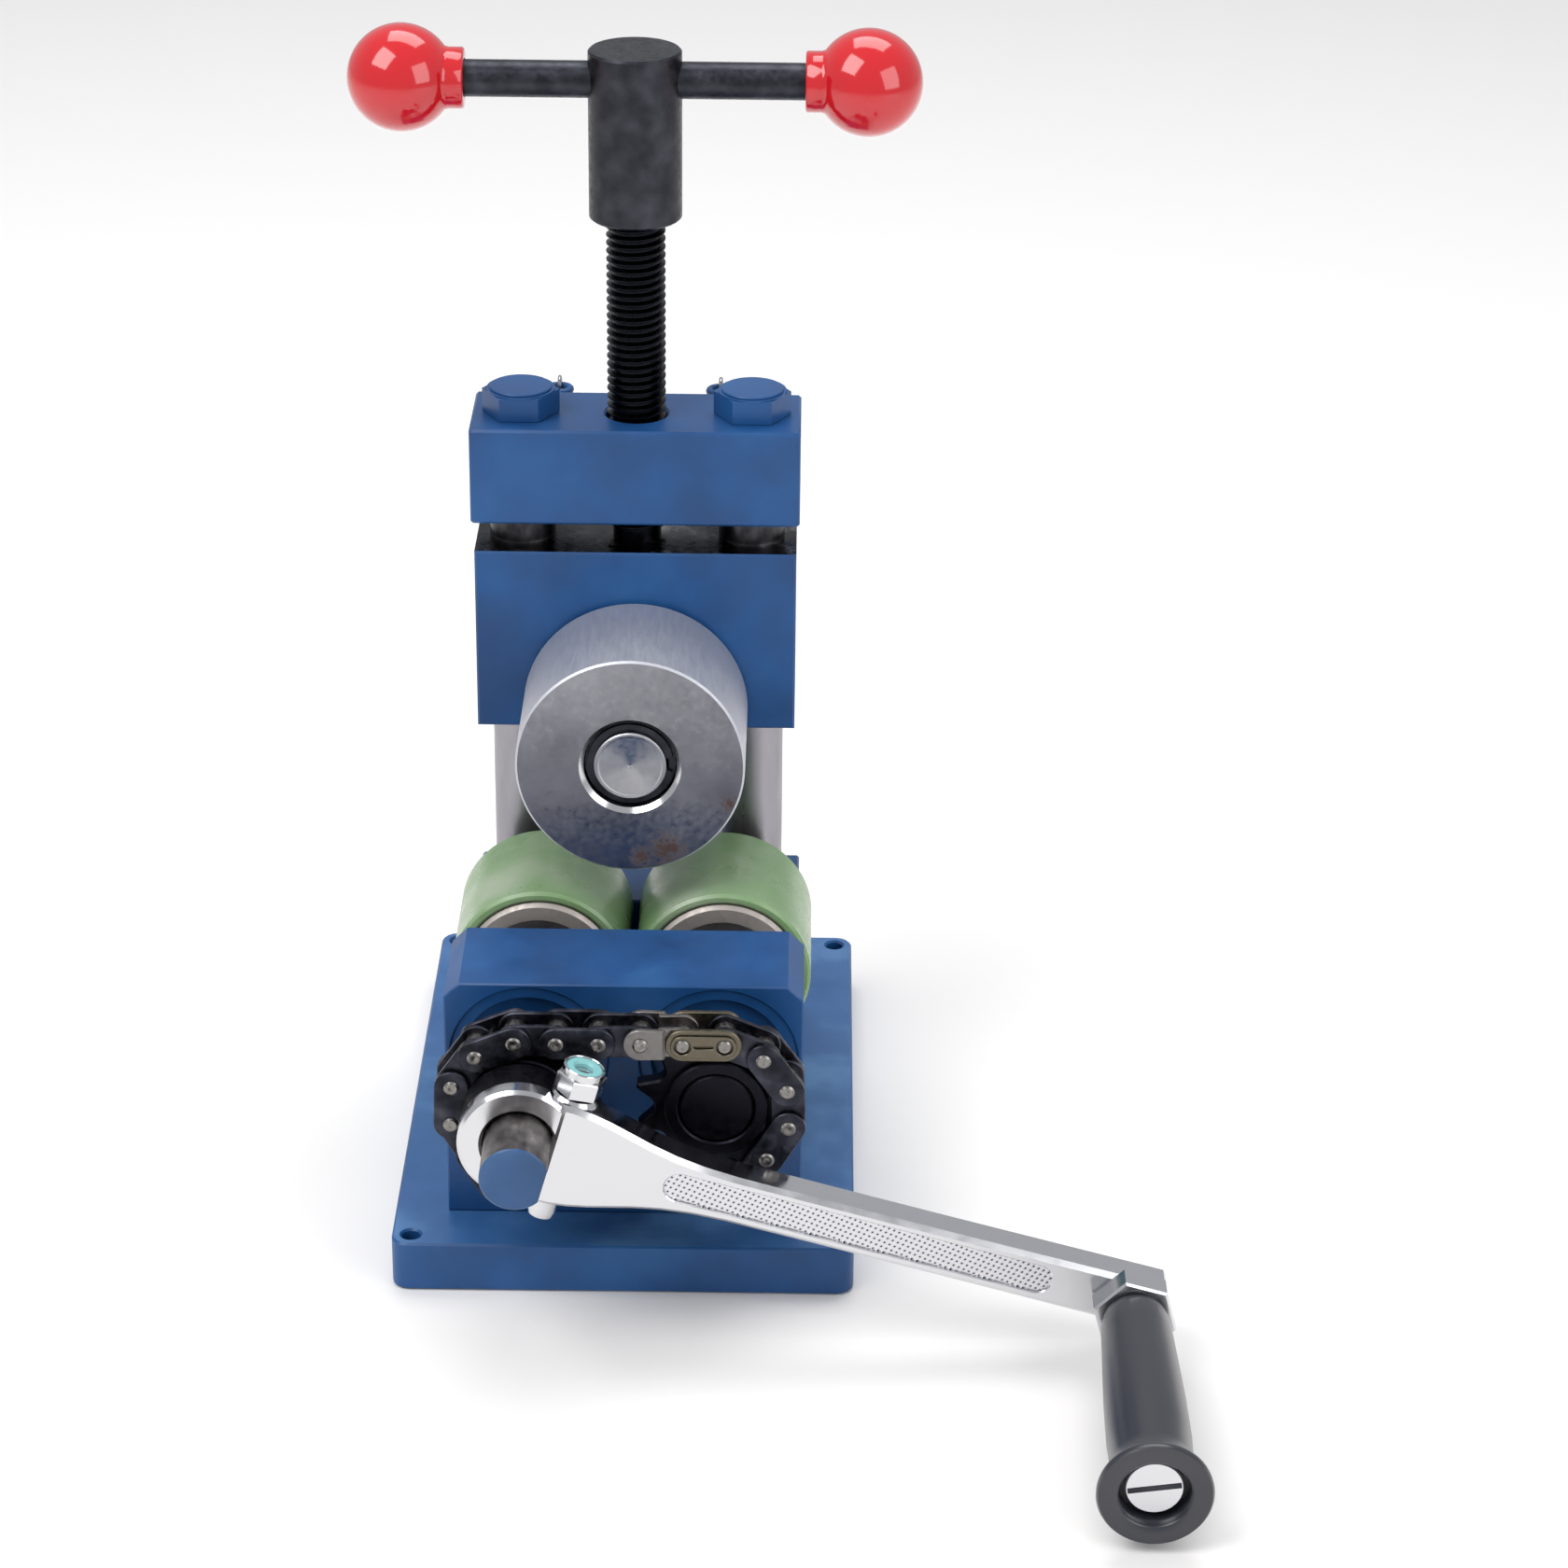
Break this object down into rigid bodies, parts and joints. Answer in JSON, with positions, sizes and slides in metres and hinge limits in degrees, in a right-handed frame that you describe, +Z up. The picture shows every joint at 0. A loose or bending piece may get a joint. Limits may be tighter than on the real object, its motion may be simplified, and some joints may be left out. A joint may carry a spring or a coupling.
{
  "type": "ring bending machine",
  "caption": "Hand cranked bench roller that bends strip and wire into rings: a steel roller pressed down by a T-handled screw over chain-linked urethane rollers",
  "frame": {"origin": "centre of the base plate's footprint, on the plane under the base", "axes": "+X to the operator's right, +Y away from the operator towards the columns, +Z up; the crank and chain are at -Y"},
  "size_m": [0.1963, 0.2597, 0.2724],
  "materials": {
    "base_plate": "blue spray enamel over steel",
    "chain_connecting_link": "black oxide on steel",
    "chain_offset_link": "black oxide on steel",
    "chain_run": "black oxide on steel",
    "chain_spring_clip": "black oxide on steel",
    "cotter_nut": "bright plating",
    "cotter_pin": "bright plating",
    "crank_arm": "bright plating",
    "front_bearing_block": "blue spray enamel over steel",
    "front_block_screw_left": "black oxide on steel",
    "front_block_screw_right": "black oxide on steel",
    "grip": "moulded dark grey plastic",
    "grip_spindle": "bright plating",
    "left_end_bolt": "black oxide on steel",
    "left_front_bearing": "machined steel",
    "left_guide_column": "machined steel",
    "left_knob": "moulded red plastic",
    "left_lower_spring_eye": "machined steel",
    "left_rear_bearing": "machined steel",
    "left_retaining_ring": "black oxide on steel",
    "left_return_spring": "machined steel",
    "left_roller_core": "machined steel",
    "left_roller_sleeve": "translucent green urethane",
    "left_shaft": "machined steel",
    "left_shaft_collar": "black oxide on steel",
    "left_sprocket": "black oxide on steel",
    "left_top_bolt": "blue spray enamel over steel",
    "left_upper_spring_eye": "blue spray enamel over steel",
    "press_screw": "black oxide on steel",
    "rear_block_screw_left": "black oxide on steel",
    "rear_block_screw_right": "black oxide on steel",
    "rear_column_block": "blue spray enamel over steel",
    "right_end_bolt": "black oxide on steel",
    "right_front_bearing": "machined steel",
    "right_guide_column": "machined steel",
    "right_knob": "moulded red plastic",
    "right_lower_spring_eye": "machined steel",
    "right_rear_bearing": "machined steel",
    "right_retaining_ring": "black oxide on steel",
    "right_return_spring": "machined steel",
    "right_roller_core": "machined steel",
    "right_roller_sleeve": "translucent green urethane",
    "right_shaft": "machined steel",
    "right_shaft_collar": "black oxide on steel",
    "right_sprocket": "black oxide on steel",
    "right_top_bolt": "blue spray enamel over steel",
    "right_upper_spring_eye": "blue spray enamel over steel",
    "screw_hub": "black oxide on steel",
    "slide_block": "blue spray enamel over steel",
    "spindle_hex": "bright plating",
    "thrust_pad": "plain bearing metal",
    "tommy_bar": "black oxide on steel",
    "top_block": "blue spray enamel over steel",
    "upper_roller": "machined steel",
    "upper_roller_bush": "plain bearing metal",
    "upper_roller_shaft": "machined steel",
    "upper_shaft_circlip": "black oxide on steel",
    "upper_shaft_nut": "black oxide on steel"
  },
  "bodies": {
    "frame": {"base_plate": "base_plate", "chain_connecting_link": "chain_connecting_link", "chain_offset_link": "chain_offset_link", "chain_run": "chain_run", "chain_spring_clip": "chain_spring_clip", "front_bearing_block": "front_bearing_block", "front_block_screw_left": "front_block_screw_left", "front_block_screw_right": "front_block_screw_right", "left_front_bearing": "left_front_bearing", "left_guide_column": "left_guide_column", "left_rear_bearing": "left_rear_bearing", "left_retaining_ring": "left_retaining_ring", "left_return_spring": "left_return_spring", "left_top_bolt": "left_top_bolt", "left_upper_spring_eye": "left_upper_spring_eye", "rear_block_screw_left": "rear_block_screw_left", "rear_block_screw_right": "rear_block_screw_right", "rear_column_block": "rear_column_block", "right_front_bearing": "right_front_bearing", "right_guide_column": "right_guide_column", "right_rear_bearing": "right_rear_bearing", "right_retaining_ring": "right_retaining_ring", "right_return_spring": "right_return_spring", "right_top_bolt": "right_top_bolt", "right_upper_spring_eye": "right_upper_spring_eye", "top_block": "top_block"},
    "carriage": {"left_lower_spring_eye": "left_lower_spring_eye", "right_lower_spring_eye": "right_lower_spring_eye", "slide_block": "slide_block", "thrust_pad": "thrust_pad", "upper_roller_shaft": "upper_roller_shaft", "upper_shaft_circlip": "upper_shaft_circlip", "upper_shaft_nut": "upper_shaft_nut"},
    "upper_roller": {"upper_roller": "upper_roller", "upper_roller_bush": "upper_roller_bush"},
    "press_screw": {"press_screw": "press_screw", "screw_hub": "screw_hub", "tommy_bar": "tommy_bar", "left_knob": "left_knob", "right_knob": "right_knob"},
    "crank": {"left_shaft": "left_shaft", "left_roller_core": "left_roller_core", "left_roller_sleeve": "left_roller_sleeve", "left_shaft_collar": "left_shaft_collar", "left_end_bolt": "left_end_bolt", "left_sprocket": "left_sprocket", "crank_arm": "crank_arm", "cotter_pin": "cotter_pin", "cotter_nut": "cotter_nut", "grip_spindle": "grip_spindle", "spindle_hex": "spindle_hex"},
    "grip": {"grip": "grip"},
    "driven_roller": {"right_shaft": "right_shaft", "right_roller_core": "right_roller_core", "right_roller_sleeve": "right_roller_sleeve", "right_shaft_collar": "right_shaft_collar", "right_end_bolt": "right_end_bolt", "right_sprocket": "right_sprocket"}
  },
  "joints": [
    {"name": "screw_turn", "type": "hinge", "parent": "carriage", "child": "press_screw", "pos_m": [0, 0.0288, 0.2], "axis": [0, 0, 1], "range_deg": [-2052, 1170]},
    {"name": "carriage_slide", "type": "slide", "parent": "frame", "child": "carriage", "axis": [0, 0, 1], "range_m": [-0.0114, 0.0065], "deforming": ["left_return_spring", "right_return_spring"]},
    {"name": "upper_roller_turn", "type": "hinge", "parent": "carriage", "child": "upper_roller", "pos_m": [0, -0.0032, 0.1082], "axis": [0, 1, 0], "continuous": true},
    {"name": "crank_turn", "type": "hinge", "parent": "frame", "child": "crank", "pos_m": [-0.022, -0.079, 0.0535], "axis": [0, 1, 0], "continuous": true, "deforming": ["chain_connecting_link", "chain_offset_link", "chain_run", "chain_spring_clip"]},
    {"name": "driven_roller_turn", "type": "hinge", "parent": "frame", "child": "driven_roller", "pos_m": [0.022, -0.079, 0.0535], "axis": [0, 1, 0], "continuous": true},
    {"name": "grip_turn", "type": "hinge", "parent": "crank", "child": "grip", "pos_m": [0.11718, -0.149, 0.01464], "axis": [0, 1, 0], "continuous": true}
  ],
  "couplings": [
    {"joint": "carriage_slide", "follows": "screw_turn", "m_per_rad": 0.00031831},
    {"joint": "driven_roller_turn", "follows": "crank_turn", "ratio": 1}
  ]
}
